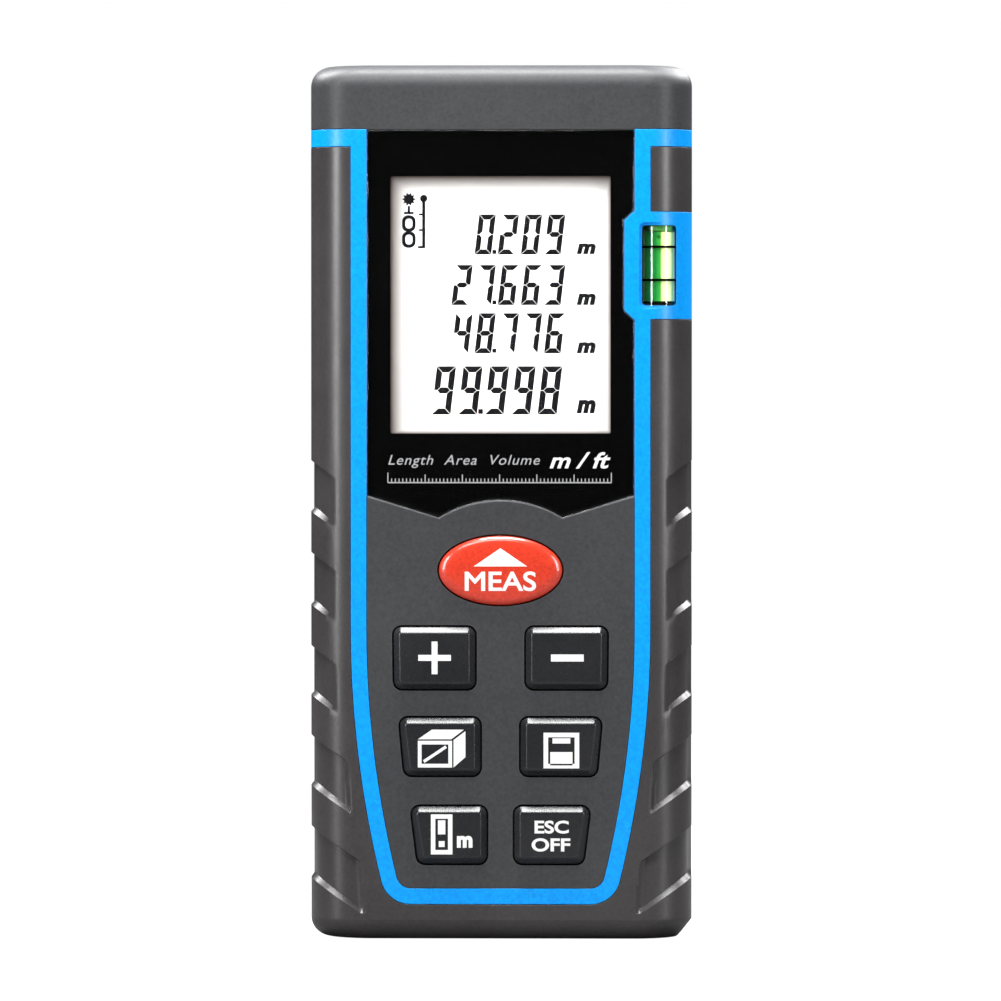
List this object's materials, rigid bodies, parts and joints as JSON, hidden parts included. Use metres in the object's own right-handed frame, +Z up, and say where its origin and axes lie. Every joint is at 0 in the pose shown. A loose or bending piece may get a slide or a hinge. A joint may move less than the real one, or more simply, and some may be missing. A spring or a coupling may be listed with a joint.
{
  "type": "laser distance meter",
  "caption": "Upright hand-held laser distance meter with a segment display, a level vial, seven push keys, optics in its top end and a hinged battery door.",
  "frame": {"origin": "middle of the bottom face, which is the measuring datum", "axes": "+Z up along the body towards the laser end; -Y is the display and key side; +X is the right side as the user sees it"},
  "size_m": [0.0516, 0.028, 0.118],
  "materials": {
    "case_plastic": "satin grain",
    "seal_rubber": "matt",
    "trim_plastic": "semi-gloss",
    "grip_rubber": "matt",
    "window_acrylic": "polished",
    "display_glass": "reflective display",
    "white_plastic": "white",
    "mat_rubber": "matt",
    "circuit_board": "solder mask",
    "black_plastic": "matt",
    "cell": "printed sleeve",
    "steel": "plated",
    "brass": "turned",
    "clear_glass": "coated",
    "filter_glass": "red filter",
    "ribbon_film": "polyimide",
    "vial_acrylic": "moulded",
    "vial_liquid": "liquid",
    "foam": "foam",
    "label_film": "matt film",
    "measure_plastic": "glossy",
    "key_plastic": "semi-gloss"
  },
  "bodies": {
    "meter_body": {"front_shell": "case_plastic", "rear_shell": "case_plastic", "case_seal": "seal_rubber", "blue_trim": "trim_plastic", "grip_bumper": "grip_rubber", "display_window": "window_acrylic", "lcd_glass": "display_glass", "lcd_backlight": "white_plastic", "lcd_frame": "white_plastic", "keypad_mat": "mat_rubber", "main_board": "circuit_board", "processor_chip": "black_plastic", "ranging_chip": "black_plastic", "buzzer": "black_plastic", "battery_1": "cell", "battery_2": "cell", "spring_1": "steel", "spring_2": "steel", "contact_bridge": "steel", "contact_positive": "steel", "contact_negative": "steel", "optics_block": "black_plastic", "receiving_lens": "clear_glass", "lens_retainer": "brass", "laser_barrel": "brass", "collimator_lens": "clear_glass", "detector_board": "circuit_board", "detector_can": "steel", "optics_ribbon": "ribbon_film", "end_plate": "black_plastic", "filter_glass": "filter_glass", "laser_window": "clear_glass", "vial_body": "vial_acrylic", "vial_fluid": "vial_liquid", "vial_plug": "vial_acrylic", "vial_pad": "foam", "case_screw_1": "steel", "case_screw_2": "steel", "case_screw_3": "steel", "case_screw_4": "steel", "board_screw_1": "steel", "board_screw_2": "steel", "optics_screw_1": "steel", "optics_screw_2": "steel", "rear_label": "label_film"},
    "door": {"battery_door": "case_plastic", "door_foam": "foam"},
    "measure_key_body": {"measure_key": "measure_plastic"},
    "plus_key_body": {"plus_key": "key_plastic"},
    "minus_key_body": {"minus_key": "key_plastic"},
    "area_volume_key_body": {"area_volume_key": "key_plastic"},
    "memory_key_body": {"memory_key": "key_plastic"},
    "reference_key_body": {"reference_key": "key_plastic"},
    "off_clear_key_body": {"off_clear_key": "key_plastic"}
  },
  "joints": [
    {"name": "battery_door_hinge", "type": "hinge", "parent": "meter_body", "child": "door", "pos_m": [0, 0.014, 0.007], "axis": [-1, 0, 0], "range_deg": [0, 75]},
    {"name": "measure_key_press", "type": "slide", "parent": "meter_body", "child": "measure_key_body", "axis": [0, 1, 0], "range_m": [0, 0.0008], "stiffness_N_per_m": 1200},
    {"name": "plus_key_press", "type": "slide", "parent": "meter_body", "child": "plus_key_body", "axis": [0, 1, 0], "range_m": [0, 0.0006], "stiffness_N_per_m": 1200},
    {"name": "minus_key_press", "type": "slide", "parent": "meter_body", "child": "minus_key_body", "axis": [0, 1, 0], "range_m": [0, 0.0006], "stiffness_N_per_m": 1200},
    {"name": "area_volume_key_press", "type": "slide", "parent": "meter_body", "child": "area_volume_key_body", "axis": [0, 1, 0], "range_m": [0, 0.0006], "stiffness_N_per_m": 1200},
    {"name": "memory_key_press", "type": "slide", "parent": "meter_body", "child": "memory_key_body", "axis": [0, 1, 0], "range_m": [0, 0.0006], "stiffness_N_per_m": 1200},
    {"name": "reference_key_press", "type": "slide", "parent": "meter_body", "child": "reference_key_body", "axis": [0, 1, 0], "range_m": [0, 0.0006], "stiffness_N_per_m": 1200},
    {"name": "off_clear_key_press", "type": "slide", "parent": "meter_body", "child": "off_clear_key_body", "axis": [0, 1, 0], "range_m": [0, 0.0006], "stiffness_N_per_m": 1200}
  ]
}
